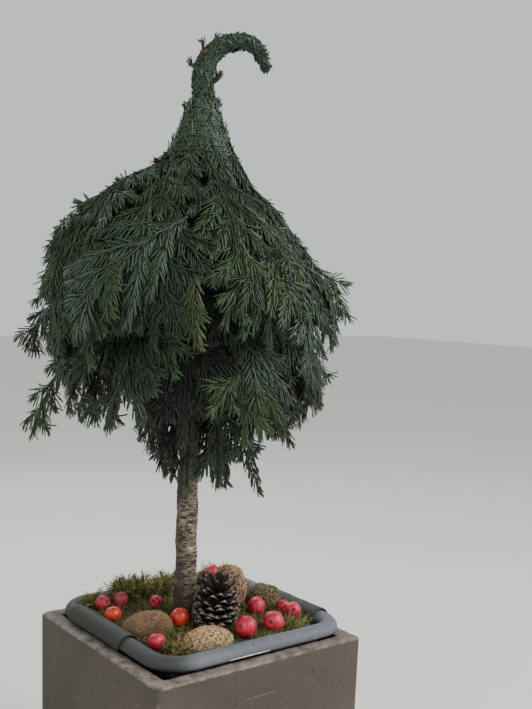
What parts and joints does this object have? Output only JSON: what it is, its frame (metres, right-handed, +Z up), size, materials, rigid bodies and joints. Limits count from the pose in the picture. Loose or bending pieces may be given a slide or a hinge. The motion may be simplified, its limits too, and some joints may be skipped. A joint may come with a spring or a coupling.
{
  "type": "fir bough standard in a planter",
  "caption": "Fir boughs tied in tiers round a slim birch trunk like a pointed hat with a hooked tip, in a square planter with moss, stones, a pine cone and crab apples.",
  "frame": {"origin": "middle of the planter's flat underside", "axes": "+Z up along the trunk, +X and +Y square to the planter's sides; the picture looks from -X and -Y, and the tip hooks over towards +X and -Y"},
  "size_m": [0.4675, 0.4696, 1.2305],
  "materials": {
    "planter": "matt taupe fibre cement",
    "liner": "satin slate grey plastic, scuffed",
    "soil": "dark crumbly soil",
    "moss": "yellow-green moss",
    "bark": "birch bark, cream with dark brown plates",
    "fir": "dark green needles",
    "stone": "rough granular sandstone",
    "cone": "brown scales with grey tips",
    "apple": "glossy red skin"
  },
  "bodies": {
    "root": {"planter": "planter", "liner_pot": "liner", "rim_grip_right": "liner", "rim_grip_left": "liner", "soil": "soil", "moss_bed": "moss", "birch_trunk": "bark", "stone_left": "stone", "stone_front": "stone", "stone_tall": "stone", "stone_right": "stone", "pine_cone": "cone", "crab_apple_1": "apple", "crab_apple_2": "apple", "crab_apple_3": "apple", "crab_apple_4": "apple", "crab_apple_5": "apple", "crab_apple_6": "apple", "crab_apple_7": "apple", "crab_apple_8": "apple", "crab_apple_9": "apple", "crab_apple_10": "apple", "crab_apple_11": "apple", "crab_apple_12": "apple", "peak": "fir", "hook_neck": "fir", "hook_arch": "fir", "hook_end": "fir", "top_bough_1": "fir", "top_bough_2": "fir", "top_bough_3": "fir", "top_bough_4": "fir", "top_bough_5": "fir", "top_bough_6": "fir", "top_bough_7": "fir", "top_bough_8": "fir", "top_bough_9": "fir", "middle_bough_1": "fir", "middle_bough_2": "fir", "middle_bough_3": "fir", "middle_bough_4": "fir", "middle_bough_5": "fir", "middle_bough_6": "fir", "middle_bough_7": "fir", "middle_bough_8": "fir", "inner_bough_1": "fir", "inner_bough_2": "fir", "inner_bough_3": "fir", "inner_bough_4": "fir", "inner_bough_5": "fir", "inner_bough_6": "fir", "inner_bough_7": "fir"}
  },
  "joints": []
}
